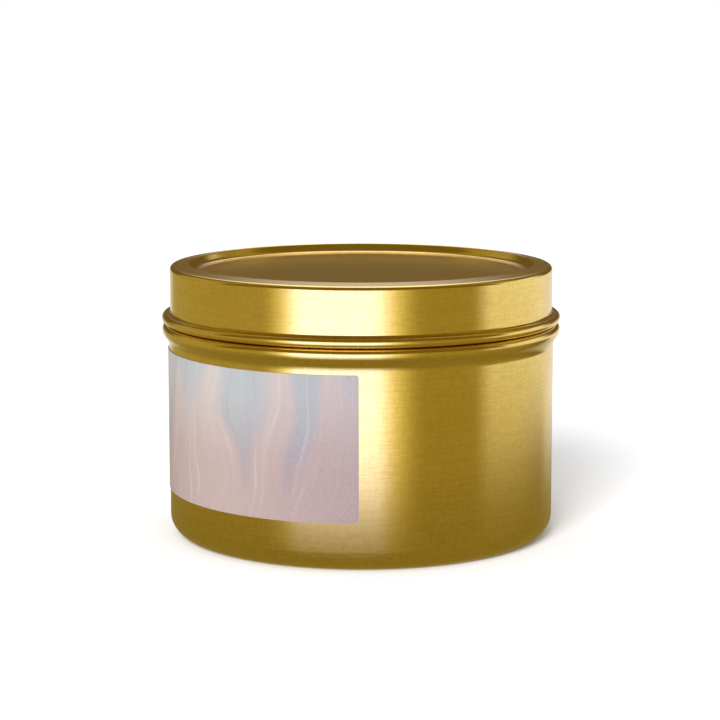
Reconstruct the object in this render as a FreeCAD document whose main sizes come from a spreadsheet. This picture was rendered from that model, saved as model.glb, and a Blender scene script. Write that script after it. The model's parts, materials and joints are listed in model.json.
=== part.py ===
import FreeCAD, Part
import math
import os
import re
import Sketcher

V = FreeCAD.Vector

# Driving dimensions in mm and degrees. Each is set by itself; what fits to it is worked out from it.
SIZES = [
    # sheet and main sizes
    ("sheet_thickness", 0.25),
    ("wall_radius", 38.1),
    ("shoulder_height", 42.05),
    ("bottom_corner", 3.85),
    # recessed underside
    ("recess_depth", 0.8),
    ("recess_radius", 31.8),
    ("recess_slope", 45.0),
    ("recess_fillet", 0.5),
    # bead under the lid
    ("bead_reach", 1.26),
    ("bead_lower_round", 2.04),
    ("bead_upper_round", 1.13),
    ("bead_slope", 50.85),
    ("bead_fillet", 2.5),
    # neck and rolled rim
    ("neck_clearance", 0.15),
    ("neck_fillet", 0.5),
    ("neck_height", 8.4),
    ("rim_roll", 0.7),
    # lid
    ("lid_height", 11.72),
    ("lid_inset", 0.31),
    ("lid_seat_gap", 0.1),
    ("lid_corner", 0.9),
    ("ring_slope", 8.5),
    ("ring_width", 3.79),
    ("ring_fillet", 0.5),
    ("panel_depth", 1.8),
    ("step_slope", 62.0),
    ("step_fillet", 1.1),
    # rolled lower edge of the lid
    ("roll_round", 1.0),
    ("roll_reach", 1.63),
    ("flare_slope", 6.0),
    ("flare_fillet", 0.35),
    ("hem_length", 0.6),
    # candle; the fill level is measured down from the shoulder
    ("pour_gap", 0.1),
    ("fill_level", 4.5),
    ("meniscus_rise", 0.6),
    ("meniscus_width", 1.2),
    ("core_radius", 0.55),
    ("braid_gap", 0.03),
    ("braid_wall", 0.7),
    ("wick_trim", 6.5),
    # wick tab and its adhesive dot
    ("dot_radius", 8.5),
    ("dot_thickness", 0.8),
    ("tab_radius", 10.0),
    ("tab_thickness", 0.3),
    ("tab_neck_height", 6.0),
    ("tab_fit", 0.05),
    ("tab_fillet", 0.8),
    # labels; the side label's lower edge is measured down from the shoulder
    ("label_thickness", 0.12),
    ("glue_line", 0.05),
    ("label_width", 119.0),
    ("label_height", 27.75),
    ("label_base", 32.65),
    ("label_corner", 0.6),
    ("base_label_radius", 27.0),
]
ALIASES = {alias for alias, _ in SIZES}


def make_sheet(doc):
    """Write the driving dimensions into a spreadsheet, one aliased cell each."""
    sheet = doc.addObject("Spreadsheet::Sheet", "sizes")
    for row, (alias, value) in enumerate(SIZES, start=1):
        sheet.set(f"A{row}", alias)
        sheet.set(f"B{row}", str(value))
        sheet.setAlias(f"B{row}", alias)
    return sheet


def named(expression):
    """Put the sheet's name in front of every alias in an expression."""
    return re.sub(r"[a-z_]+", lambda word: f"sizes.{word[0]}" if word[0] in ALIASES else word[0], expression)


class Outline:
    """A chain of lines and arcs in a sketch. Sheet expressions hold every end point and radius."""

    def __init__(self, sketch, start):
        self.sketch = sketch
        self.first = None
        self.last = None
        self.start = start
        self.here = start

    def value(self, expression):
        """The number that an expression of sheet aliases stands for."""
        return float(self.sketch.evalExpression(named(expression)))

    def spot(self, point):
        return V(self.value(point[0]), self.value(point[1]), 0)

    def bind(self, kind, where, expression):
        """Add one dimension and tie it to the sheet; a zero becomes a point on the axis."""
        if expression == "0":
            axis = -2 if kind == "DistanceX" else -1
            self.sketch.addConstraint(Sketcher.Constraint("PointOnObject", *where, axis))
            return
        constraint = Sketcher.Constraint(kind, -1, 1, *where, self.value(expression))
        index = self.sketch.addConstraint(constraint)
        self.sketch.setExpression(f"Constraints[{index}]", named(expression))

    def pin(self, where, point):
        self.bind("DistanceX", where, point[0])
        self.bind("DistanceY", where, point[1])

    def join(self, head, tail, point, closing):
        """Join a new segment to the chain at its head and pin its tail."""
        if self.last is None:
            self.first = head
            self.pin(head, self.start)
        else:
            self.sketch.addConstraint(Sketcher.Constraint("Coincident", *self.last, *head))
        if closing:
            self.sketch.addConstraint(Sketcher.Constraint("Coincident", *tail, *self.first))
        else:
            self.pin(tail, point)
        self.last = tail
        self.here = point

    def line(self, r, z, closing=False):
        point = (r, z)
        segment = Part.LineSegment(self.spot(self.here), self.spot(point))
        index = self.sketch.addGeometry(segment)
        self.join((index, 1), (index, 2), point, closing)

    def arc(self, r, z, radius, turn):
        """An arc of less than half a turn that turns left (+1) or right (-1)."""
        point = (r, z)
        a = self.spot(self.here)
        b = self.spot(point)
        rad = self.value(radius)
        chord = b - a
        side = V(-chord.y, chord.x, 0).normalize() * turn
        centre = (a + b) * 0.5 + side * math.sqrt(max(rad**2 - (chord.Length / 2) ** 2, 0.0))
        begin, end = (a, b) if turn > 0 else (b, a)
        angles = [math.atan2(p.y - centre.y, p.x - centre.x) for p in (begin, end)]
        circle = Part.Circle(centre, V(0, 0, 1), rad)
        index = self.sketch.addGeometry(Part.ArcOfCircle(circle, *angles))
        ends = ((index, 1), (index, 2)) if turn > 0 else ((index, 2), (index, 1))
        self.join(*ends, point, False)
        limit = self.sketch.addConstraint(Sketcher.Constraint("Radius", index, rad))
        self.sketch.setExpression(f"Constraints[{limit}]", named(radius))

    def corner(self, r, z, radius, heading, turned):
        """A line up to a rounded corner at (r, z), where the heading grows by the angle turned."""
        turn = 1 if self.value(turned) > 0 else -1
        reach = f"({radius}) * tan(abs({turned}) / 2)"
        self.line(f"{r} - {reach} * cos({heading})", f"{z} - {reach} * sin({heading})")
        after = f"(({heading}) + ({turned}))"
        self.arc(f"{r} + {reach} * cos({after})", f"{z} + {reach} * sin({after})", radius, turn)

    def close(self):
        self.line(*self.start, closing=True)


def rolled_sheet(doc, name, draw):
    """A round piece of sheet metal: its outer path, thickened inwards and revolved about Z."""
    path = doc.addObject("Sketcher::SketchObject", f"{name}_path")
    path.Placement = FreeCAD.Placement(V(), FreeCAD.Rotation(V(1, 0, 0), 90))
    draw(path)
    doc.recompute()
    section = doc.addObject("Part::Offset2D", f"{name}_section")
    section.Source = path
    section.Mode = "Skin"
    section.Fill = True
    section.setExpression("Value", named("sheet_thickness"))
    piece = doc.addObject("Part::Revolution", name)
    piece.Source = section
    piece.Axis = V(0, 0, 1)
    piece.Angle = 360
    piece.Label = name
    return piece


def plane(body, role):
    return next(f for f in body.Origin.OriginFeatures if f.Role == role)


def new_body(doc, name, role, level):
    """A body with one sketch on an origin plane, lifted to a level given by an expression."""
    body = doc.addObject("PartDesign::Body", name)
    body.Label = name
    sketch = body.newObject("Sketcher::SketchObject", f"{name}_outline")
    sketch.AttachmentSupport = [(plane(body, role), "")]
    sketch.MapMode = "FlatFace"
    body.setExpression("Placement.Base.z", named(level))
    return body, sketch


def turned_piece(doc, name, draw, level):
    """A body revolved about Z from a closed outline."""
    body, sketch = new_body(doc, name, "XZ_Plane", level)
    draw(sketch)
    revolve = body.newObject("PartDesign::Revolution", f"{name}_turn")
    revolve.Profile = sketch
    revolve.ReferenceAxis = (sketch, ["V_Axis"])
    revolve.Angle = 360
    return body


def round_pad(doc, name, radii, height, level):
    """A disc, or a ring if two radii are given, padded up from a level."""
    body, sketch = new_body(doc, name, "XY_Plane", level)
    for radius in radii:
        size = float(sketch.evalExpression(named(radius)))
        index = sketch.addGeometry(Part.Circle(V(), V(0, 0, 1), size))
        sketch.addConstraint(Sketcher.Constraint("Coincident", index, 3, -1, 1))
        limit = sketch.addConstraint(Sketcher.Constraint("Radius", index, size))
        sketch.setExpression(f"Constraints[{limit}]", named(radius))
    pad = body.newObject("PartDesign::Pad", f"{name}_pad")
    pad.Profile = sketch
    pad.setExpression("Length", named(height))
    return body


# What lines up or fits together is worked out once, from the driving dimensions.
BEAD_RADIUS = "(wall_radius + bead_reach)"
LID_RADIUS = "(wall_radius - lid_inset)"
LID_INSIDE = f"({LID_RADIUS} - sheet_thickness)"
NECK_RADIUS = f"({LID_INSIDE} - neck_clearance)"
RIM_HEIGHT = "(shoulder_height + neck_height)"
LID_BASE = "(shoulder_height + lid_seat_gap)"
FLOOR_LEVEL = "(recess_depth + sheet_thickness)"
TAB_LEVEL = f"({FLOOR_LEVEL} + dot_thickness)"
FILL_LEVEL = "(shoulder_height - fill_level)"
LABEL_BASE = "(shoulder_height - label_base)"
BRAID_INSIDE = "(core_radius + braid_gap)"
BRAID_RADIUS = f"({BRAID_INSIDE} + braid_wall)"
TAB_BORE = f"({BRAID_RADIUS} + tab_fit)"
TAB_NECK_RADIUS = f"({TAB_BORE} + tab_thickness)"
WICK_LENGTH = f"({FILL_LEVEL} + wick_trim - {TAB_LEVEL})"


def draw_tin(sketch):
    """Outer path of the tin, from the middle of its underside out, up and round the rim."""
    path = Outline(sketch, ("0", "recess_depth"))
    ring_start = "(recess_radius + recess_depth / tan(recess_slope))"
    path.corner("recess_radius", "recess_depth", "recess_fillet", "0", "-recess_slope")
    path.corner(ring_start, "0", "recess_fillet", "-recess_slope", "recess_slope")
    path.line("wall_radius - bottom_corner", "0")
    path.arc("wall_radius", "bottom_corner", "bottom_corner", 1)
    widest = "(shoulder_height - bead_upper_round)"
    slope_end_r = f"({BEAD_RADIUS} - bead_lower_round * (1 - sin(bead_slope)))"
    slope_end_z = f"({widest} - bead_lower_round * cos(bead_slope))"
    slope_start = f"({slope_end_z} - ({slope_end_r} - wall_radius) * tan(bead_slope))"
    path.corner("wall_radius", slope_start, "bead_fillet", "90", "bead_slope - 90")
    path.line(slope_end_r, slope_end_z)
    path.arc(BEAD_RADIUS, widest, "bead_lower_round", 1)
    path.arc(f"{BEAD_RADIUS} - bead_upper_round", "shoulder_height", "bead_upper_round", 1)
    path.line(f"{NECK_RADIUS} + neck_fillet", "shoulder_height")
    path.arc(NECK_RADIUS, "shoulder_height + neck_fillet", "neck_fillet", -1)
    roll_level = f"({RIM_HEIGHT} - rim_roll)"
    path.line(NECK_RADIUS, roll_level)
    path.arc(f"{NECK_RADIUS} - rim_roll", RIM_HEIGHT, "rim_roll", 1)
    path.arc(f"{NECK_RADIUS} - 2 * rim_roll", roll_level, "rim_roll", 1)
    path.arc(f"{NECK_RADIUS} - rim_roll", f"{roll_level} - rim_roll", "rim_roll", 1)


def draw_lid(sketch):
    """Outer path of the lid, from the hem inside its rolled edge round, up and in to the middle."""
    roll_centre = f"({LID_RADIUS} + roll_reach - roll_round)"
    hem_round = f"({roll_centre} - {LID_INSIDE})"
    path = Outline(sketch, (LID_INSIDE, f"{hem_round} + hem_length"))
    path.line(LID_INSIDE, hem_round)
    path.arc(roll_centre, "0", hem_round, 1)
    path.arc(f"{LID_RADIUS} + roll_reach", "roll_round", "roll_round", 1)
    path.arc(
        f"{roll_centre} + roll_round * sin(flare_slope)",
        "roll_round * (1 + cos(flare_slope))",
        "roll_round",
        1,
    )
    roll_rise = f"(roll_round + sin(flare_slope) * ({roll_centre} - {LID_RADIUS}))"
    flare_top = f"(roll_round + {roll_rise} / cos(flare_slope))"
    path.corner(LID_RADIUS, flare_top, "flare_fillet", "180 - flare_slope", "flare_slope - 90")
    edge_r = f"({LID_RADIUS} - ring_width)"
    ring_end_r = f"({LID_RADIUS} - lid_corner * (1 - sin(ring_slope)))"
    ring_end_z = f"(lid_height - ({ring_end_r} - {edge_r}) * tan(ring_slope))"
    path.line(LID_RADIUS, f"{ring_end_z} - lid_corner * cos(ring_slope)")
    path.arc(ring_end_r, ring_end_z, "lid_corner", 1)
    panel_z = "(lid_height - panel_depth)"
    step_r = f"({edge_r} - panel_depth / tan(step_slope))"
    path.corner(edge_r, "lid_height", "ring_fillet", "180 - ring_slope", "step_slope + ring_slope")
    path.corner(step_r, panel_z, "step_fillet", "180 + step_slope", "-step_slope")
    path.line("0", panel_z)


def draw_wax(sketch):
    """Half section of the wax: clear of the tin all round, with a bore for the tab and the wick."""
    skin = "(sheet_thickness + pour_gap)"
    shift = f"({skin} * tan(recess_slope / 2))"
    bore = f"({BRAID_RADIUS} + pour_gap)"
    neck_bore = f"({TAB_NECK_RADIUS} + pour_gap)"
    tab_bore = "(tab_radius + pour_gap)"
    tab_top = f"({TAB_LEVEL} + tab_thickness + pour_gap)"
    neck_top = f"({TAB_LEVEL} + tab_thickness + tab_neck_height + pour_gap)"
    outer = f"(wall_radius - {skin})"
    ring_start = f"(recess_radius + recess_depth / tan(recess_slope) + {shift})"
    rise_round = "((meniscus_width^2 + meniscus_rise^2) / (2 * meniscus_rise))"
    half = Outline(sketch, (bore, FILL_LEVEL))
    half.line(bore, neck_top)
    half.line(neck_bore, neck_top)
    half.line(neck_bore, f"{tab_top} + tab_fillet")
    half.line(f"{neck_bore} + tab_fillet", tab_top)
    half.line(tab_bore, tab_top)
    half.line(tab_bore, f"recess_depth + {skin}")
    half.line(f"recess_radius + {shift}", f"recess_depth + {skin}")
    half.line(ring_start, skin)
    half.line("wall_radius - bottom_corner", skin)
    half.arc(outer, "bottom_corner", f"(bottom_corner - {skin})", 1)
    half.line(outer, f"{FILL_LEVEL} + meniscus_rise")
    half.arc(f"{outer} - meniscus_width", FILL_LEVEL, rise_round, -1)
    half.close()


def draw_tab(sketch):
    """Half section of the wick tab: a thin disc with a neck that grips the wick."""
    neck_top = "(tab_thickness + tab_neck_height)"
    half = Outline(sketch, (TAB_BORE, "0"))
    half.line("tab_radius", "0")
    half.line("tab_radius", "tab_thickness")
    half.line(f"{TAB_NECK_RADIUS} + tab_fillet", "tab_thickness")
    half.arc(TAB_NECK_RADIUS, "tab_thickness + tab_fillet", "tab_fillet", -1)
    half.line(TAB_NECK_RADIUS, neck_top)
    half.line(TAB_BORE, neck_top)
    half.close()


def draw_label_section(sketch):
    """Section of the paper label, standing just off the wall by its glue line."""
    inside = "(wall_radius + glue_line)"
    outside = f"({inside} + label_thickness)"
    half = Outline(sketch, (inside, "0"))
    half.line(outside, "0")
    half.line(outside, "label_height")
    half.line(inside, "label_height")
    half.close()


def make_side_label(doc):
    """The label on the wall, centred on -X, with its four corners rounded."""
    body, sketch = new_body(doc, "side_label", "XZ_Plane", LABEL_BASE)
    draw_label_section(sketch)
    wrap = body.newObject("PartDesign::Revolution", "side_label_wrap")
    wrap.Profile = sketch
    wrap.ReferenceAxis = (sketch, ["V_Axis"])
    wrap.Midplane = True
    wrap.setExpression("Angle", named("label_width / (wall_radius + glue_line) * 180 / pi"))
    body.Placement.Rotation = FreeCAD.Rotation(V(0, 0, 1), 180)
    doc.recompute()
    thickness = float(sketch.evalExpression(named("label_thickness")))
    across = [
        f"Edge{i}"
        for i, edge in enumerate(wrap.Shape.Edges, start=1)
        if abs(edge.Length - thickness) < thickness / 100
    ]
    rounds = body.newObject("PartDesign::Fillet", "side_label_corners")
    rounds.Base = (wrap, across)
    rounds.setExpression("Radius", named("label_corner"))
    return body


def build(doc):
    """Every piece of the tin and its candle, as one document object each."""
    lid = rolled_sheet(doc, "lid", draw_lid)
    lid.setExpression("Placement.Base.z", named(LID_BASE))
    return [
        rolled_sheet(doc, "tin_body", draw_tin),
        lid,
        turned_piece(doc, "wax", draw_wax, "0"),
        round_pad(doc, "wick_core", ["core_radius"], WICK_LENGTH, TAB_LEVEL),
        round_pad(doc, "wick_braid", [BRAID_INSIDE, BRAID_RADIUS], WICK_LENGTH, TAB_LEVEL),
        turned_piece(doc, "wick_tab", draw_tab, TAB_LEVEL),
        round_pad(doc, "wick_sticker", ["dot_radius"], "dot_thickness", FLOOR_LEVEL),
        make_side_label(doc),
        round_pad(
            doc,
            "base_label",
            ["base_label_radius"],
            "label_thickness",
            "recess_depth - glue_line - label_thickness",
        ),
    ]


def check(doc, pieces):
    """Stop if any object failed, or if a piece isn't exactly one valid solid."""
    failed = [o.Name for o in doc.Objects if {"Invalid", "Error"} & set(o.State)]
    if failed:
        raise RuntimeError(f"failed objects: {failed}")
    for piece in pieces:
        shape = piece.Shape
        if shape.isNull() or not shape.isValid() or len(shape.Solids) != 1:
            raise RuntimeError(f"{piece.Label} is not one valid solid")


os.makedirs("parts", exist_ok=True)
doc = FreeCAD.newDocument("candle_tin")
make_sheet(doc)
doc.recompute()
pieces = build(doc)
doc.recompute()
check(doc, pieces)
for piece in pieces:
    piece.Shape.exportStep(f"parts/{piece.Label}.step")
    print(f"{piece.Label}: {piece.Shape.Volume:.2f} mm3")
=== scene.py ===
import json
import math

import bmesh
import bpy
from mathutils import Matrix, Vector

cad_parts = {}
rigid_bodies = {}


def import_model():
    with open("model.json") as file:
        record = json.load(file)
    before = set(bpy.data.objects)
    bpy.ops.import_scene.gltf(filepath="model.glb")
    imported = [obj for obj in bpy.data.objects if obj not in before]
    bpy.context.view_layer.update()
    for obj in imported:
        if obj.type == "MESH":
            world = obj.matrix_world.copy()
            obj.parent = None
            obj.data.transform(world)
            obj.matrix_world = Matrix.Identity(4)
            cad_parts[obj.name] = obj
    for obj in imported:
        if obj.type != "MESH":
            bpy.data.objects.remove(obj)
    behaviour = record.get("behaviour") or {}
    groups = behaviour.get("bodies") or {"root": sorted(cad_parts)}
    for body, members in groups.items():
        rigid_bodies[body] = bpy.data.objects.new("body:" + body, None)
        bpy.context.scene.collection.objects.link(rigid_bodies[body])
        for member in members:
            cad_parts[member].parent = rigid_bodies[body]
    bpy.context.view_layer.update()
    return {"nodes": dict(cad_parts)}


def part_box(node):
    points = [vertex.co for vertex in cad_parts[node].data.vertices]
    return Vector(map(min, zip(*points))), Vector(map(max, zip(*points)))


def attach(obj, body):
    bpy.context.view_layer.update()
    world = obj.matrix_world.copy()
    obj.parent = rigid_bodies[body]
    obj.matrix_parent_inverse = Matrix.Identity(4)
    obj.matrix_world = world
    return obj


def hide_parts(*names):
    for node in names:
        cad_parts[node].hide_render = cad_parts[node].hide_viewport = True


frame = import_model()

MM = 0.001
TURN_STEPS = 240  # round a turned piece
LONGEST_STEP = 3.0  # mm, along a straight run
ARC_STEP = 8.0  # degrees, round an arc
HOLD = 0.12  # mm, from each end of a straight run to its extra step
WELD = 1e-7
SEAM_WELD = 1e-6
CREASE = math.radians(40)


# ---- profiles of the turned pieces, in mm of radius and height ----


class Profile:
    """One line of a turned piece's half section, walked in short straight steps."""

    def __init__(self, r, z):
        self.points = [(r, z)]

    def line(self, r, z):
        """A straight run, with a step just inside each end so that the run shades flat."""
        r0, z0 = self.points[-1]
        length = math.hypot(r - r0, z - z0)
        if length < WELD:
            return
        steps = math.ceil(length / LONGEST_STEP)
        stops = {k / steps for k in range(1, steps)}
        if length > 3 * HOLD:
            stops |= {HOLD / length, 1 - HOLD / length}
        for s in sorted(stops) + [1.0]:
            self.points.append((r0 + (r - r0) * s, z0 + (z - z0) * s))

    def arc(self, r, z, radius, turn):
        """An arc of less than half a turn that bends left (+1) or right (-1)."""
        r0, z0 = self.points[-1]
        dr, dz = r - r0, z - z0
        chord = math.hypot(dr, dz)
        rise = math.sqrt(max(radius**2 - chord**2 / 4, 0.0))
        cr = (r0 + r) / 2 - turn * dz / chord * rise
        cz = (z0 + z) / 2 + turn * dr / chord * rise
        begin = math.atan2(z0 - cz, r0 - cr)
        sweep = (math.atan2(z - cz, r - cr) - begin) * turn % math.tau * turn
        steps = max(2, math.ceil(abs(math.degrees(sweep)) / ARC_STEP))
        for k in range(1, steps):
            a = begin + sweep * k / steps
            self.points.append((cr + radius * math.cos(a), cz + radius * math.sin(a)))
        self.points.append((r, z))

    def corner(self, r, z, radius, heading, turned):
        """A straight run up to a rounded corner, where the heading grows by the angle turned."""
        reach = radius * math.tan(math.radians(abs(turned)) / 2)
        a, b = math.radians(heading), math.radians(heading + turned)
        self.line(r - reach * math.cos(a), z - reach * math.sin(a))
        self.arc(r + reach * math.cos(b), z + reach * math.sin(b), radius, math.copysign(1, turned))


def inner_line(points, thickness):
    """The same line again, one sheet thickness to its left."""
    inner = []
    for k, (r, z) in enumerate(points):
        before = points[max(k - 1, 0)]
        after = points[min(k + 1, len(points) - 1)]
        a = Vector((r - before[0], z - before[1]))
        b = Vector((after[0] - r, after[1] - z))
        heading = (a.normalized() + b.normalized()).normalized()
        inner_r = max(r - heading.y * thickness, 0.0) if r > WELD else 0.0
        inner.append((inner_r, z + heading.x * thickness))
    return inner


def sheet_section(points, thickness):
    """The whole half section of a sheet metal piece, from the middle round its edge and back."""
    inner = inner_line(points, thickness)
    if points[0][0] < WELD:
        return points + inner[::-1]
    return inner[::-1] + points


# ---- shaping trees ----

STRAND_SIDES = 7


class Tree:
    """A geometry tree being built: named inputs, and one way to add any node."""

    def __init__(self, name, inputs):
        self.tree = bpy.data.node_groups.new(name, "GeometryNodeTree")
        self.ids = {}
        for title, kind in {"Geometry": "NodeSocketGeometry", **inputs}.items():
            made = self.tree.interface.new_socket(title, in_out="INPUT", socket_type=kind)
            self.ids[title] = made.identifier
        self.tree.interface.new_socket("Geometry", in_out="OUTPUT", socket_type="NodeSocketGeometry")
        self.inputs = self.tree.nodes.new("NodeGroupInput").outputs

    def add(self, kind, settings=None, **sockets):
        """Add a node; the settings come first, then values or links by socket name or number."""
        node = self.tree.nodes.new(kind)
        for key, value in (settings or {}).items():
            setattr(node, key, value)
        for key, value in sockets.items():
            numbered = key[1:].isdigit()
            socket = node.inputs[int(key[1:]) if numbered else key.replace("_", " ")]
            if isinstance(value, bpy.types.NodeSocket):
                self.tree.links.new(value, socket)
            else:
                socket.default_value = value
        return node

    def maths(self, operation, *values):
        named = {f"i{k}": value for k, value in enumerate(values)}
        return self.add("ShaderNodeMath", {"operation": operation}, **named).outputs[0]

    def finish(self, geometry, material):
        """Make everything real, give it its material and send it out."""
        real = self.add("GeometryNodeRealizeInstances", None, Geometry=geometry)
        dressed = self.add(
            "GeometryNodeSetMaterial", None, Geometry=real.outputs[0], Material=material
        )
        out = self.tree.nodes.new("NodeGroupOutput")
        self.tree.links.new(dressed.outputs[0], out.inputs[0])
        return self


def turning_tree():
    """A half section turned about the upright axis, as a lathe or a spinning die does it."""
    tree = Tree(
        "turn_on_axis",
        {"Section Points": "NodeSocketInt", "Steps Round": "NodeSocketInt", "Finish": "NodeSocketMaterial"},
    )
    given = tree.inputs
    round_points = tree.maths("ADD", given["Steps Round"], 1.0)
    grid = tree.add(
        "GeometryNodeMeshGrid",
        None,
        Size_X=1.0,
        Size_Y=1.0,
        Vertices_X=given["Section Points"],
        Vertices_Y=round_points,
    )
    place = tree.add("GeometryNodeInputPosition")
    flat = tree.add("ShaderNodeSeparateXYZ", None, Vector=place.outputs[0])
    along = tree.maths("ADD", flat.outputs[0], 0.5)
    last = tree.maths("SUBTRACT", given["Section Points"], 1.0)
    number = tree.maths("ROUND", tree.maths("MULTIPLY", along, last))
    angle = tree.maths("MULTIPLY", tree.maths("ADD", flat.outputs[1], 0.5), math.tau)
    sample = tree.add(
        "GeometryNodeSampleIndex",
        {"data_type": "FLOAT_VECTOR", "domain": "POINT"},
        Geometry=given["Geometry"],
        Value=place.outputs[0],
        Index=number,
    )
    section = tree.add("ShaderNodeSeparateXYZ", None, Vector=sample.outputs[0])
    radius, height = section.outputs[0], section.outputs[2]
    spot = tree.add(
        "ShaderNodeCombineXYZ",
        None,
        X=tree.maths("MULTIPLY", radius, tree.maths("COSINE", angle)),
        Y=tree.maths("MULTIPLY", radius, tree.maths("SINE", angle)),
        Z=height,
    )
    turned = tree.add(
        "GeometryNodeSetPosition", None, Geometry=grid.outputs["Mesh"], Position=spot.outputs[0]
    )
    welded = tree.add("GeometryNodeMergeByDistance", None, Geometry=turned.outputs[0], Distance=SEAM_WELD)
    return tree.finish(welded.outputs[0], given["Finish"])


def braid_tree():
    """One strand wound over and under its neighbours, set round the wick in both hands."""
    tree = Tree(
        "braid_on_core",
        {
            "Length": "NodeSocketFloat",
            "Pitch": "NodeSocketFloat",
            "Lay Radius": "NodeSocketFloat",
            "Crossing Depth": "NodeSocketFloat",
            "Strand Radius": "NodeSocketFloat",
            "Strands Each Way": "NodeSocketInt",
            "Steps": "NodeSocketInt",
            "Foot": "NodeSocketFloat",
            "Finish": "NodeSocketMaterial",
        },
    )
    given = tree.inputs
    half_turn = tree.maths("DIVIDE", math.pi, given["Strands Each Way"])
    both = tree.add("GeometryNodeJoinGeometry")
    for hand in (1.0, -1.0):
        line = tree.add("GeometryNodeCurvePrimitiveLine", {"mode": "POINTS"}, End=(0.0, 0.0, 1.0))
        fine = tree.add(
            "GeometryNodeResampleCurve", None, Curve=line.outputs[0], Count=given["Steps"]
        )
        run = tree.add("GeometryNodeSplineParameter")
        rise = tree.maths("MULTIPLY", run.outputs["Factor"], given["Length"])
        angle = tree.maths("MULTIPLY", tree.maths("DIVIDE", rise, given["Pitch"]), math.tau)
        crossing = tree.maths("MULTIPLY", angle, given["Strands Each Way"])
        depth = tree.maths("MULTIPLY", tree.maths("COSINE", crossing), given["Crossing Depth"])
        radius = tree.maths("ADD", given["Lay Radius"], tree.maths("MULTIPLY", depth, hand))
        wound = tree.maths("MULTIPLY", angle, hand)
        spot = tree.add(
            "ShaderNodeCombineXYZ",
            None,
            X=tree.maths("MULTIPLY", radius, tree.maths("COSINE", wound)),
            Y=tree.maths("MULTIPLY", radius, tree.maths("SINE", wound)),
            Z=tree.maths("ADD", rise, given["Foot"]),
        )
        path = tree.add(
            "GeometryNodeSetPosition", None, Geometry=fine.outputs[0], Position=spot.outputs[0]
        )
        ring = tree.add(
            "GeometryNodeCurvePrimitiveCircle", {"mode": "RADIUS"}, Resolution=STRAND_SIDES
        )
        tree.tree.links.new(given["Strand Radius"], ring.inputs["Radius"])
        strand = tree.add(
            "GeometryNodeCurveToMesh",
            None,
            Curve=path.outputs[0],
            Profile_Curve=ring.outputs[0],
            Fill_Caps=True,
        )
        posts = tree.add("GeometryNodeMeshLine", {"mode": "OFFSET"}, Count=given["Strands Each Way"])
        posts.inputs["Offset"].default_value = (0.0, 0.0, 0.0)
        number = tree.add("GeometryNodeInputIndex")
        phase = tree.maths("MULTIPLY", tree.maths("MULTIPLY", number.outputs[0], half_turn), 2.0)
        turn = tree.add("ShaderNodeCombineXYZ", None, Z=phase)
        placed = tree.add(
            "GeometryNodeInstanceOnPoints",
            None,
            Points=posts.outputs[0],
            Instance=strand.outputs[0],
            Rotation=turn.outputs[0],
        )
        tree.tree.links.new(placed.outputs[0], both.inputs[0])
    return tree.finish(both.outputs[0], given["Finish"])


def shaped(name, mesh, tree, **values):
    """Run a shaping tree on a mesh and return its result as a plain mesh."""
    carrier = bpy.data.objects.new(name, mesh)
    bpy.context.scene.collection.objects.link(carrier)
    modifier = carrier.modifiers.new("shape", "NODES")
    modifier.node_group = tree.tree
    for title, value in values.items():
        modifier[tree.ids[title.replace("_", " ")]] = value
    evaluated = carrier.evaluated_get(bpy.context.evaluated_depsgraph_get())
    made = bpy.data.meshes.new_from_object(evaluated)
    carrier.modifiers.clear()
    bpy.data.objects.remove(carrier)
    made.name = name
    return made


def tidy_faces(mesh):
    """Weld, point every face outwards, and shade smooth except at real edges."""
    bm = bmesh.new()
    bm.from_mesh(mesh)
    bmesh.ops.remove_doubles(bm, verts=bm.verts, dist=WELD)
    bmesh.ops.recalc_face_normals(bm, faces=bm.faces)
    bm.to_mesh(mesh)
    bm.free()
    mesh.shade_smooth()
    mesh.set_sharp_from_angle(angle=CREASE)
    return mesh


def piece(name, mesh, body, slot, *nodes):
    """Put a finished mesh in the scene as a piece of the object."""
    made = bpy.data.objects.new(name, mesh)
    bpy.context.scene.collection.objects.link(made)
    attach(made, body)
    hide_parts(*nodes)
    return made


def turned(name, points, finish, tree):
    """A turned piece from its half section in mm."""
    mesh = bpy.data.meshes.new(f"{name}_section")
    corners = [(r * MM, 0.0, z * MM) for r, z in points]
    mesh.from_pydata(corners, [(k, k + 1) for k in range(len(points) - 1)], [])
    values = {"Section_Points": len(points), "Steps_Round": TURN_STEPS, "Finish": finish}
    return tidy_faces(shaped(name, mesh, tree, **values))


# ---- material trees ----


class Value:
    """A number in a material; sums, differences, products and powers add Math nodes."""

    def __init__(self, nodes, socket):
        self.nodes = nodes
        self.socket = socket

    def __add__(self, other):
        return self.nodes.maths("ADD", self, other)

    def __sub__(self, other):
        return self.nodes.maths("SUBTRACT", self, other)

    def __rsub__(self, other):
        return self.nodes.maths("SUBTRACT", other, self)

    def __mul__(self, other):
        return self.nodes.maths("MULTIPLY", self, other)

    def __pow__(self, other):
        return self.nodes.maths("POWER", self, other)

    __radd__ = __add__


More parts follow.
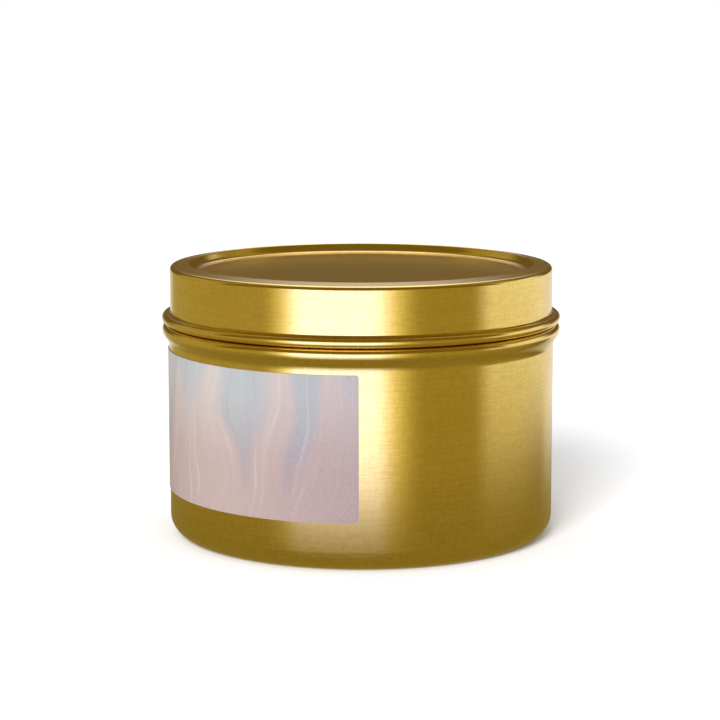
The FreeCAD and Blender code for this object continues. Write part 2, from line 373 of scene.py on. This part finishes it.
class Nodes:
    """A shader tree being built, with one way to add any node."""

    def __init__(self, tree):
        self.tree = tree
        tree.nodes.clear()

    def add(self, kind, settings=None, values=None):
        """Add a node: its settings first, a ramp's stops among them, then its sockets."""
        node = self.tree.nodes.new(kind)
        for key, value in (settings or {}).items():
            if key == "stops":
                self.set_stops(node.color_ramp, value)
            else:
                setattr(node, key, value)
        for key, value in (values or {}).items():
            value = value.socket if isinstance(value, Value) else value
            if isinstance(value, bpy.types.NodeSocket):
                self.tree.links.new(value, node.inputs[key])
            else:
                node.inputs[key].default_value = value
        return node

    def set_stops(self, ramp, stops):
        while len(ramp.elements) < len(stops):
            ramp.elements.new(0.5)
        for element, (place, colour) in zip(ramp.elements, stops):
            element.position = place
            element.color = (*colour, 1.0)

    def maths(self, operation, *values):
        node = self.add("ShaderNodeMath", {"operation": operation}, dict(enumerate(values)))
        return Value(self, node.outputs[0])

    def smooth(self, value, low, high):
        """Rises softly from 0 at low to 1 at high."""
        node = self.add(
            "ShaderNodeMapRange",
            {"interpolation_type": "SMOOTHSTEP"},
            {"Value": value, "From Min": low, "From Max": high},
        )
        return Value(self, node.outputs[0])

    def between(self, value, low, high, soft):
        """Is 1 between two limits, with soft edges."""
        up = self.smooth(value, low - soft / 2, low + soft / 2)
        down = self.smooth(value, high - soft / 2, high + soft / 2)
        return up * (1 - down)

    def mix(self, under, over, share, blend="MIX"):
        """Lay one colour over another by a share."""
        settings = {"data_type": "RGBA", "blend_type": blend, "clamp_result": False}
        colours = [(*c, 1.0) if isinstance(c, tuple) else c for c in (under, over)]
        node = self.add("ShaderNodeMix", settings, {0: share, 6: colours[0], 7: colours[1]})
        return node.outputs[2]

    def parts(self, vector):
        node = self.add("ShaderNodeSeparateXYZ", None, {0: vector})
        return [Value(self, out) for out in node.outputs]

    def vector(self, x, y, z):
        return self.add("ShaderNodeCombineXYZ", None, {0: x, 1: y, 2: z}).outputs[0]

    def place(self):
        """Where a point is on the object, in metres."""
        return self.add("ShaderNodeTexCoord").outputs["Object"]

    def noise(self, where, scale, detail=2.0, roughness=0.5, distortion=0.0):
        sockets = {
            "Vector": where,
            "Scale": scale,
            "Detail": detail,
            "Roughness": roughness,
            "Distortion": distortion,
        }
        return Value(self, self.add("ShaderNodeTexNoise", None, sockets).outputs[0])

    def bump(self, height, distance, strength):
        sockets = {"Strength": strength, "Distance": distance, "Height": height}
        return self.add("ShaderNodeBump", None, sockets).outputs[0]


def new_finish(name):
    material = bpy.data.materials.new(name)
    material.use_nodes = True
    return material, Nodes(material.node_tree)


def dress(nodes, sockets):
    """End a material with its one surface shader."""
    shader = nodes.add("ShaderNodeBsdfPrincipled", None, sockets)
    nodes.add("ShaderNodeOutputMaterial", None, {"Surface": shader.outputs[0]})


GOLD = (0.88, 0.655, 0.20)
GOLD_DEEP = (0.70, 0.49, 0.12)
GOLD_CLOUD = (0.74, 0.50, 0.13)
GOLD_SPECK = (0.66, 0.45, 0.13)
BRUSH_RADIUS = 0.038


def gold_tinplate(name, line_share):
    """Gold lacquered tinplate: short brush dashes round it, a linen cross grain, and light wear."""
    material, nodes = new_finish(name)
    x, y, z = nodes.parts(nodes.place())
    radius = (x * x + y * y) ** 0.5
    round_it = nodes.maths("ARCTAN2", y, x) * BRUSH_RADIUS
    across = z + radius
    dashes = nodes.noise(nodes.vector(round_it * 420, across * 2900, 0.0), 1.0, 3.0, 0.65)
    threads = nodes.noise(nodes.vector(round_it * 1900, across * 360, 3.0), 1.0, 2.0, 0.55)
    streaks = nodes.noise(nodes.vector(round_it * 60, across * 1500, 7.0), 1.0, 3.0, 0.6)
    clouds = nodes.noise(nodes.place(), 70.0, 3.0, 0.55)
    specks = nodes.noise(nodes.place(), 900.0, 2.0, 0.5)
    grain = dashes * 0.42 + threads * 0.30 + streaks * 0.28
    shade = nodes.smooth(grain, 0.38, 0.62)
    colour = nodes.mix(GOLD, GOLD_DEEP, shade * line_share)
    colour = nodes.mix(colour, GOLD_CLOUD, nodes.smooth(clouds, 0.45, 0.80) * 0.30)
    colour = nodes.mix(colour, GOLD_SPECK, nodes.smooth(specks, 0.68, 0.80) * 0.30)
    dress(
        nodes,
        {
            "Base Color": colour,
            "Metallic": 1.0,
            "Roughness": 0.11 + grain * 0.10 + clouds * 0.03,
            "Normal": nodes.bump(grain, 0.000007, 0.8),
        },
    )
    return material


GREY_TOP = (0.345, 0.37, 0.38)
GREY_FOOT = (0.28, 0.235, 0.26)
BLUSH_TOP = (0.46, 0.405, 0.38)
BLUSH_FOOT = (0.375, 0.285, 0.268)
PALE_STROKE = (0.56, 0.51, 0.49)
DARK_STROKE = (0.30, 0.225, 0.225)
FINE_STROKE = (0.52, 0.48, 0.47)
PRINT_TONE = (0.93, 0.91, 0.91)
# painted shade laid over the end of the label that faces the front
FRONT_PAINTED_SHADE = (0.76, 0.74, 0.76)
DOT_TONE = (0.62, 0.60, 0.60)


def label_print():
    """A plain pastel print on coated paper: soft washes of grey and blush with dry brush marks, and painted
    shade on the end that faces the front.
    """
    material, nodes = new_finish("label_print")
    spot = nodes.add("ShaderNodeTexCoord").outputs["UV"]
    u, v, _ = nodes.parts(spot)
    drift = nodes.noise(nodes.vector(u, v, 4.0), 1.1, 1.0, 0.4)
    sweep = u * 1.2 - v * 0.35 + drift * 0.9
    folds = nodes.noise(nodes.vector(sweep * 2.1, v * 0.3, 9.0), 1.0, 1.0, 0.4)
    bristles = nodes.noise(nodes.vector(sweep * 19, v * 0.8, 2.0), 1.0, 3.0, 0.55)
    hairs = nodes.noise(nodes.vector(sweep * 90, v * 1.5, 6.0), 1.0, 2.0, 0.5)
    ground = nodes.mix(GREY_TOP, GREY_FOOT, nodes.smooth(v, 0.95, 0.15))
    blush = nodes.mix(BLUSH_TOP, BLUSH_FOOT, nodes.smooth(v, 1.05, 0.25))
    front = nodes.smooth(u, 3.0, 4.3)
    fold_share = nodes.smooth(folds - (v - 0.5) * 0.14 - front * 0.05, 0.33, 0.47)
    colour = nodes.mix(ground, blush, fold_share)
    colour = nodes.mix(colour, PALE_STROKE, nodes.smooth(bristles, 0.52, 0.80) * 0.40)
    colour = nodes.mix(colour, DARK_STROKE, nodes.smooth(bristles, 0.44, 0.22) * 0.35)
    colour = nodes.mix(colour, FINE_STROKE, nodes.smooth(hairs, 0.55, 0.75) * 0.18)
    colour = nodes.mix(colour, PRINT_TONE, 1.0, "MULTIPLY")
    # painted shade: the end of the label that faces the front is darkened
    colour = nodes.mix(colour, FRONT_PAINTED_SHADE, front, "MULTIPLY")
    dots = nodes.noise(nodes.place(), 3500.0, 3.0, 0.6)
    dress(
        nodes,
        {
            "Base Color": nodes.mix(colour, DOT_TONE, nodes.smooth(dots, 0.45, 0.7) * 0.10),
            "Roughness": 0.42 + dots * 0.14,
            "Specular IOR Level": 0.4,
            "Normal": nodes.bump(dots, 0.00001, 0.4),
        },
    )
    return material


def plain_paper(name, tone, fibre_tone):
    """Uncoated paper with fibres."""
    material, nodes = new_finish(name)
    fibres = nodes.noise(nodes.place(), 1800.0, 4.0, 0.65, 0.6)
    clouds = nodes.noise(nodes.place(), 160.0, 2.0, 0.5)
    colour = nodes.mix(tone, fibre_tone, nodes.smooth(fibres * 0.7 + clouds * 0.3, 0.4, 0.75))
    dress(
        nodes,
        {
            "Base Color": colour,
            "Roughness": 0.75 + fibres * 0.15,
            "Normal": nodes.bump(fibres, 0.00002, 0.5),
        },
    )
    return material


def candle_wax():
    """Poured wax: cream, slightly mottled, with a soft bloom and a fine orange-peel skin."""
    material, nodes = new_finish("poured_wax")
    mottle = nodes.noise(nodes.place(), 90.0, 4.0, 0.55, 0.4)
    bloom = nodes.noise(nodes.place(), 420.0, 3.0, 0.6)
    skin = nodes.noise(nodes.place(), 1300.0, 2.0, 0.5)
    colour = nodes.mix((0.90, 0.84, 0.71), (0.83, 0.75, 0.60), nodes.smooth(mottle, 0.40, 0.72))
    colour = nodes.mix(colour, (0.96, 0.94, 0.88), nodes.smooth(bloom, 0.55, 0.80) * 0.5)
    dress(
        nodes,
        {
            "Base Color": colour,
            "Roughness": 0.38 + bloom * 0.22,
            "Subsurface Weight": 0.35,
            "Subsurface Scale": 0.004,
            "Normal": nodes.bump(mottle * 0.7 + skin * 0.3, 0.00006, 0.5),
        },
    )
    return material


def waxed_cotton():
    """Cotton strands, twisted fine and lightly waxed."""
    material, nodes = new_finish("waxed_cotton")
    x, y, z = nodes.parts(nodes.place())
    twist = nodes.noise(nodes.vector(x * 5200, y * 5200, z * 1700), 1.0, 3.0, 0.6)
    patches = nodes.noise(nodes.place(), 900.0, 2.0, 0.5)
    colour = nodes.mix((0.90, 0.86, 0.76), (0.74, 0.67, 0.53), nodes.smooth(twist, 0.42, 0.72))
    colour = nodes.mix(colour, (0.95, 0.92, 0.84), nodes.smooth(patches, 0.5, 0.8) * 0.4)
    dress(
        nodes,
        {
            "Base Color": colour,
            "Roughness": 0.62 + twist * 0.2,
            "Normal": nodes.bump(twist, 0.00003, 0.7),
        },
    )
    return material


def zinc_steel():
    """Thin bright zinc-plated steel with stamping marks."""
    material, nodes = new_finish("zinc_steel")
    spangle = nodes.noise(nodes.place(), 700.0, 3.0, 0.6)
    scratches = nodes.noise(nodes.place(), 2600.0, 2.0, 0.5, 1.5)
    colour = nodes.mix((0.72, 0.72, 0.73), (0.56, 0.57, 0.60), nodes.smooth(spangle, 0.4, 0.7))
    dress(
        nodes,
        {
            "Base Color": colour,
            "Metallic": 1.0,
            "Roughness": 0.26 + spangle * 0.14 + scratches * 0.05,
            "Normal": nodes.bump(scratches, 0.00001, 0.5),
        },
    )
    return material


def adhesive_foam():
    """Closed-cell foam of the adhesive dot, with its pores and painted shade in them."""
    material, nodes = new_finish("adhesive_foam")
    pores = nodes.add(
        "ShaderNodeTexVoronoi", None, {"Vector": nodes.place(), "Scale": 2600.0}
    ).outputs["Distance"]
    depth = nodes.smooth(Value(nodes, pores), 0.05, 0.45)
    # painted shade: darker at the bottom of each pore
    colour = nodes.mix((0.70, 0.68, 0.63), (0.90, 0.88, 0.83), depth)
    dress(
        nodes,
        {
            "Base Color": colour,
            "Roughness": 0.85 - depth * 0.1,
            "Normal": nodes.bump(depth, 0.00008, 0.6),
        },
    )
    return material


# ---- the pieces ----

_, tin_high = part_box("tin_body")
lid_low, lid_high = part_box("lid")
label_low, label_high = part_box("side_label")
base_low, base_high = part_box("base_label")
wax_low, wax_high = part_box("wax")
braid_low, braid_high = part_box("wick_braid")

# The thicknesses, gaps and rounds below are in mm.
SHEET = 0.25
PAPER = 0.12
GLUE = 0.05
NECK_CLEARANCE = 0.15
POUR_GAP = 0.1
BEAD_REACH = 1.26
NECK_HEIGHT = 8.4
LID_INSET = 0.31
LID_HEIGHT = 11.72
ROLL_ROUND = 1.0
CORNER = 3.85
WALL = tin_high.x / MM - BEAD_REACH
SHOULDER = tin_high.z / MM - NECK_HEIGHT
LID_WALL = WALL - LID_INSET


def tin_profile():
    """The drawn tin: recessed floor, wall, bead, neck and curled rim."""
    recess, recess_r, ring, fold = 0.8, 31.8, 32.6, 0.5
    path = Profile(0.0, recess)
    path.corner(recess_r, recess, fold, 0, -45)
    path.corner(ring, 0.0, fold, -45, 45)
    path.line(WALL - CORNER, 0.0)
    path.arc(WALL, CORNER, CORNER, 1)
    bead_slope, bead_fillet = 50.85, 2.5
    slope, upper, lower = math.radians(bead_slope), 1.13, 2.04
    bead = WALL + BEAD_REACH
    widest = SHOULDER - upper
    slope_r = bead - lower * (1 - math.sin(slope))
    slope_z = widest - lower * math.cos(slope)
    foot = slope_z - (slope_r - WALL) * math.tan(slope)
    path.corner(WALL, foot, bead_fillet, 90, bead_slope - 90)
    path.line(slope_r, slope_z)
    path.arc(bead, widest, lower, 1)
    path.arc(bead - upper, SHOULDER, upper, 1)
    neck = LID_WALL - SHEET - NECK_CLEARANCE
    path.line(neck + fold, SHOULDER)
    path.arc(neck, SHOULDER + fold, fold, -1)
    rim, curl = SHOULDER + NECK_HEIGHT, 0.7
    path.line(neck, rim - curl)
    path.arc(neck - curl, rim, curl, 1)
    path.arc(neck - 2 * curl, rim - curl, curl, 1)
    path.arc(neck - curl, rim - 2 * curl, curl, 1)
    return sheet_section(path.points, SHEET)


def lid_profile():
    """The slip lid: hem, rolled edge, wall, crown, sloping ring and sunk panel."""
    base = lid_low.z / MM
    inside = LID_WALL - SHEET
    edge = lid_high.x / MM
    roll_r = edge - ROLL_ROUND
    hem, hem_length = roll_r - inside, 0.6
    ledge_slope, ledge_fillet = 6, 0.35
    ledge = math.radians(ledge_slope)
    path = Profile(inside, base + hem + hem_length)
    path.line(inside, base + hem)
    path.arc(roll_r, base, hem, 1)
    path.arc(edge, base + ROLL_ROUND, ROLL_ROUND, 1)
    leave_r = roll_r + ROLL_ROUND * math.sin(ledge)
    path.arc(leave_r, base + ROLL_ROUND * (1 + math.cos(ledge)), ROLL_ROUND, 1)
    rise = ROLL_ROUND + math.sin(ledge) * (roll_r - LID_WALL)
    ledge_z = base + ROLL_ROUND + rise / math.cos(ledge)
    path.corner(LID_WALL, ledge_z, ledge_fillet, 180 - ledge_slope, ledge_slope - 90)
    ring_slope, ring_width, ring_fillet = 8.5, 3.79, 0.5
    crown, ring = 0.9, math.radians(ring_slope)
    crest = base + LID_HEIGHT
    edge_r = LID_WALL - ring_width
    ring_r = LID_WALL - crown * (1 - math.sin(ring))
    ring_z = crest - (ring_r - edge_r) * math.tan(ring)
    path.line(LID_WALL, ring_z - crown * math.cos(ring))
    path.arc(ring_r, ring_z, crown, 1)
    depth, step_slope, step_fillet = 1.8, 62, 1.1
    panel = crest - depth
    step_r = edge_r - depth / math.tan(math.radians(step_slope))
    path.corner(edge_r, crest, ring_fillet, 180 - ring_slope, ring_slope + step_slope)
    path.corner(step_r, panel, step_fillet, 180 + step_slope, -step_slope)
    path.line(0.0, panel)
    return sheet_section(path.points, SHEET)


def wax_profile():
    """The poured wax: it climbs at the wall, dips a little, and leaves the wick its bore."""
    outer = wax_high.x / MM
    climb = wax_high.z / MM
    fill = climb - 0.6
    foot = wax_low.z / MM
    bore = braid_high.x / MM + POUR_GAP
    neck_r, neck_top, bevel = 1.73, 8.25, 0.8
    tab_r, tab_top = 10.1, 2.25
    floor_r, floor_top = 31.95, 1.15
    path = Profile(bore, neck_top)
    path.line(neck_r, neck_top)
    path.line(neck_r, tab_top + bevel)
    path.line(neck_r + bevel, tab_top)
    path.line(tab_r, tab_top)
    path.line(tab_r, floor_top)
    path.line(floor_r, floor_top)
    path.line(floor_r + bevel, foot)
    path.line(WALL - CORNER, foot)
    path.arc(outer, CORNER, CORNER - SHEET - POUR_GAP, 1)
    path.line(outer, climb)
    path.arc(outer - 1.2, fill, 1.5, -1)
    for r, dip in ((22.0, 0.12), (4.5, 0.22), (bore + 0.4, 0.10), (bore, 0.0)):
        path.line(r, fill - dip)
    path.line(bore, neck_top)
    return path.points


def label_columns(width, corner):
    """Where the label's upright lines of points are along its width, closer at the corners."""
    at_corner, between = 6, 160
    ends = [corner * k / at_corner for k in range(at_corner + 1)]
    middle = [corner + (width - 2 * corner) * k / between for k in range(1, between)]
    return ends + middle + [width - s for s in reversed(ends)]


def label_faces(columns, rows):
    """Both sides of the paper, its long edges and its two ends."""
    side = rows + 1
    step = 2 * side
    faces = []
    for c in range(columns - 1):
        a, b = c * step, (c + 1) * step
        for k in range(rows):
            faces.append((a + k, a + k + 1, b + k + 1, b + k))
            faces.append((a + side + k, b + side + k, b + side + k + 1, a + side + k + 1))
        faces.append((a, b, b + side, a + side))
        faces.append((a + rows, a + side + rows, b + side + rows, b + rows))
    for a in (0, (columns - 1) * step):
        for k in range(rows):
            faces.append((a + k, a + k + 1, a + side + k + 1, a + side + k))
    return faces


def label_mesh():
    """The wrap label: paper with rounded corners, bent round the wall and centred on its left."""
    inner, outer = WALL + GLUE, WALL + GLUE + PAPER
    width, corner, rows = 119.0, 0.6, 12
    low, high = label_low.z / MM, label_high.z / MM
    columns = label_columns(width, corner)
    points, uvs = [], []
    for s in columns:
        inset = max(corner - min(s, width - s), 0.0)
        cut = corner - math.sqrt(corner**2 - inset**2)
        angle = math.pi + (s - width / 2) / inner
        for radius in (inner, outer):
            for k in range(rows + 1):
                share = k / rows
                z = low + cut + (high - low - 2 * cut) * share
                x, y = radius * MM * math.cos(angle), radius * MM * math.sin(angle)
                points.append((x, y, z * MM))
                uvs.append((s / (high - low), (z - low) / (high - low)))
    mesh = bpy.data.meshes.new("side_label_paper")
    mesh.from_pydata(points, [], label_faces(len(columns), rows))
    layer = mesh.uv_layers.new(name="UVMap")
    for loop in mesh.loops:
        layer.data[loop.index].uv = uvs[loop.vertex_index]
    return tidy_faces(mesh)


def disc_profile(radius, low, high):
    """A flat disc's half section."""
    path = Profile(0.0, low)
    path.line(radius, low)
    path.line(radius, high)
    path.line(0.0, high)
    return path.points


def make_tin(lathe):
    mesh = turned("tin_drawn", tin_profile(), gold_tinplate("gold_tinplate", 0.62), lathe)
    piece("tin_drawn", mesh, "tin", "gold_tinplate", "tin_body")


def make_lid(lathe):
    mesh = turned("slip_lid", lid_profile(), gold_tinplate("gold_tinplate_lid", 0.55), lathe)
    piece("slip_lid", mesh, "lid", "gold_tinplate_lid", "lid")


def make_labels(lathe):
    paper = label_mesh()
    paper.materials.append(label_print())
    piece("side_label_paper", paper, "tin", "label_paper", "side_label")
    cream = plain_paper("base_label_stock", (0.88, 0.85, 0.78), (0.80, 0.76, 0.68))
    disc = disc_profile(base_high.x / MM, base_low.z / MM, base_high.z / MM)
    mesh = turned("base_label_paper", disc, cream, lathe)
    piece("base_label_paper", mesh, "tin", "base_label_paper", "base_label")


def make_candle(lathe):
    wax = turned("poured_wax", wax_profile(), candle_wax(), lathe)
    piece("poured_wax", wax, "tin", "candle_wax", "wax")
    empty = bpy.data.meshes.new("wick_start")
    braid = shaped(
        "braided_wick",
        empty,
        braid_tree(),
        Length=braid_high.z - braid_low.z,
        Pitch=0.0052,
        Lay_Radius=0.00093,
        Crossing_Depth=0.00011,
        Strand_Radius=0.00021,
        Strands_Each_Way=4,
        Steps=420,
        Foot=braid_low.z,
        Finish=waxed_cotton(),
    )
    piece("braided_wick", tidy_faces(braid), "tin", "wick_cotton", "wick_braid")


def dress_cad_pieces():
    """Materials for the plain pieces whose shape is already right."""
    finishes = {
        "wick_core": plain_paper("twisted_paper", (0.88, 0.84, 0.73), (0.76, 0.70, 0.57)),
        "wick_tab": zinc_steel(),
        "wick_sticker": adhesive_foam(),
    }
    for name, finish in finishes.items():
        node = frame["nodes"][name]
        node.data.materials.clear()
        node.data.materials.append(finish)


# ---- the studio ----

FLOOR_HALF = 12.0
CARD_RADIUS = 0.3
CARD_SIDES = 96
# painted shade: the dark tone the metal sees on the table close to the tin
CARD_PAINTED_SHADE = (0.27, 0.22, 0.06, 1.0)


def studio_floor():
    """A plain pale floor, which polished pieces don't see."""
    mesh = bpy.data.meshes.new("studio_floor")
    signs = ((-1, -1), (1, -1), (1, 1), (-1, 1))
    corners = [(x * FLOOR_HALF, y * FLOOR_HALF, 0.0) for x, y in signs]
    mesh.from_pydata(corners, [], [(0, 1, 2, 3)])
    floor = bpy.data.objects.new("studio_floor", mesh)
    bpy.context.scene.collection.objects.link(floor)
    material, nodes = new_finish("pale_floor")
    dress(nodes, {"Base Color": (0.9, 0.9, 0.9, 1.0), "Roughness": 1.0, "Specular IOR Level": 0.0})
    mesh.materials.append(material)
    floor.visible_glossy = False


def painted_shade_card():
    """What the metal sees of the table: painted shade, a sheet that glows dark close to the tin, and is
    gone further out.
    """
    mesh = bpy.data.meshes.new("painted_shade_card")
    angles = [k * math.tau / CARD_SIDES for k in range(CARD_SIDES)]
    rim = [(CARD_RADIUS * math.cos(a), CARD_RADIUS * math.sin(a), 0.0) for a in angles]
    mesh.from_pydata(rim, [], [range(CARD_SIDES)])
    card = bpy.data.objects.new("painted_shade_card", mesh)
    card.location = (0.0, 0.0, 0.0001)
    bpy.context.scene.collection.objects.link(card)
    material, nodes = new_finish("painted_shade_card")
    x, y, _ = nodes.parts(nodes.place())
    far = nodes.smooth((x * x + y * y) ** 0.5, 0.03, 0.19)
    # painted shade: glows dark near the tin and is seen only in reflections
    near_painted_shade = nodes.add("ShaderNodeEmission", None, {"Color": CARD_PAINTED_SHADE})
    clear = nodes.add("ShaderNodeBsdfTransparent")
    both = nodes.add("ShaderNodeMixShader", None, {0: far, 1: near_painted_shade.outputs[0], 2: clear.outputs[0]})
    nodes.add("ShaderNodeOutputMaterial", None, {"Surface": both.outputs[0]})
    mesh.materials.append(material)
    card.visible_camera = False
    card.visible_diffuse = False
    card.visible_shadow = False
    card.visible_transmission = False


WHITE = (1.0, 1.0, 1.0)
MATT_SKY = (0.80, 0.80, 0.805)
ROOM_BACK = (0.16, 0.105, 0.03)
ROOM_FRONT = (0.37, 0.30, 0.075)
DARK_GAP = (0.19, 0.135, 0.025)
CLOTH_TONE = (1.6, 1.65, 2.2)
COVE_TONE = (0.92, 0.88, 0.85)
FRONT_BOX = (1.35, 1.25, 0.50)
FRONT_CORE = (0.6, 0.8, 3.4)
RIGHT_BOX = (1.02, 1.02, 0.98)
LEFT_BOX = (0.44, 0.37, 0.13)
NO_CORE = (0.0, 0.0, 0.0)
CORE_POWER = 6

# Each soft box: azimuth from the front where it starts, is full, is still full and ends,
# its lower and upper edge and how soft they are, its colour, and what its middle adds.
BOXES = [
    ((-61, -36, 8, 36), -46, 20, 7, FRONT_BOX, FRONT_CORE),
    ((70, 83, 150, 165), -10.5, -1, 5, RIGHT_BOX, NO_CORE),
    ((70, 83, 124, 142), -1, 22, 5, RIGHT_BOX, NO_CORE),
    ((-170, -152, -72, -52), -46, 0, 6, LEFT_BOX, NO_CORE),
    ((-146, -128, -72, -52), 0, 30, 6, LEFT_BOX, NO_CORE),
]


def studio_world():
    """White to the eye, even light on matt pieces, and soft boxes in a dark room for polished ones."""
    world = bpy.data.worlds.new("studio")
    bpy.context.scene.world = world
    world.use_nodes = True
    world.cycles.sampling_method = "NONE"
    nodes = Nodes(world.node_tree)
    x, y, z = nodes.parts(nodes.add("ShaderNodeTexCoord").outputs["Generated"])
    to_degrees = 180 / math.pi
    azimuth = nodes.maths("ARCTAN2", x, 0 - y) * to_degrees
    elevation = nodes.maths("ARCSINE", z) * to_degrees
    room = nodes.mix(ROOM_BACK, ROOM_FRONT, nodes.smooth(0 - y, -0.75, -0.2))
    for (start, full, last, end), low, high, fade, colour, middle in BOXES:
        across = nodes.smooth(azimuth, start, full) * (1 - nodes.smooth(azimuth, last, end))
        share = across * nodes.between(elevation, low, high, fade)
        room = nodes.mix(room, colour, share)
        room = nodes.mix(room, middle, share**CORE_POWER, "ADD")
    tilt = nodes.maths("ARCTAN2", z, 0 - y) * to_degrees
    above = nodes.between(tilt, 34, 92, 16)
    room = nodes.mix(room, DARK_GAP, above)
    cloth = nodes.smooth(tilt, 96, 108) * (1 - nodes.smooth(tilt, 142, 164))
    cloth = cloth * (1 - nodes.smooth(nodes.maths("ABSOLUTE", x), 0.16, 0.42))
    room = nodes.mix(room, CLOTH_TONE, cloth)
    cove = nodes.smooth(azimuth, 134, 150) + nodes.smooth(0 - azimuth, 150, 166)
    room = nodes.mix(room, COVE_TONE, cove * (1 - nodes.smooth(elevation, -6, 2)))
    ray = nodes.add("ShaderNodeLightPath")
    seen = nodes.mix(MATT_SKY, room, ray.outputs["Is Glossy Ray"])
    seen = nodes.mix(seen, WHITE, ray.outputs["Is Camera Ray"])
    light = nodes.add("ShaderNodeBackground", None, {"Color": seen, "Strength": 1.0})
    nodes.add("ShaderNodeOutputWorld", None, {"Surface": light.outputs[0]})


def key_light():
    """One broad soft light from the front left, high up."""
    lamp = bpy.data.lights.new("key", "SUN")
    lamp.energy = 3.3
    lamp.angle = math.radians(24)
    key = bpy.data.objects.new("key", lamp)
    bpy.context.scene.collection.objects.link(key)
    towards = Vector((0.27, 0.85, -0.52))
    key.rotation_euler = towards.to_track_quat("-Z", "Y").to_euler()
    key.visible_glossy = False


def set_camera():
    """A long lens at the front, looking slightly down."""
    lens = bpy.data.cameras.new("camera")
    lens.lens = 116.155
    lens.sensor_width = 36.0
    lens.clip_start = 0.01
    lens.clip_end = 60.0
    camera = bpy.data.objects.new("camera", lens)
    bpy.context.scene.collection.objects.link(camera)
    camera.location = (-0.0002, -0.4572, 0.1059)
    camera.rotation_euler = (math.radians(90 - 8.93), 0, 0)
    bpy.context.scene.camera = camera


def main():
    set_camera()
    lathe = turning_tree()
    make_tin(lathe)
    make_lid(lathe)
    make_labels(lathe)
    make_candle(lathe)
    dress_cad_pieces()
    studio_floor()
    painted_shade_card()
    studio_world()
    key_light()
    bpy.context.scene.view_settings.view_transform = "Standard"


main()
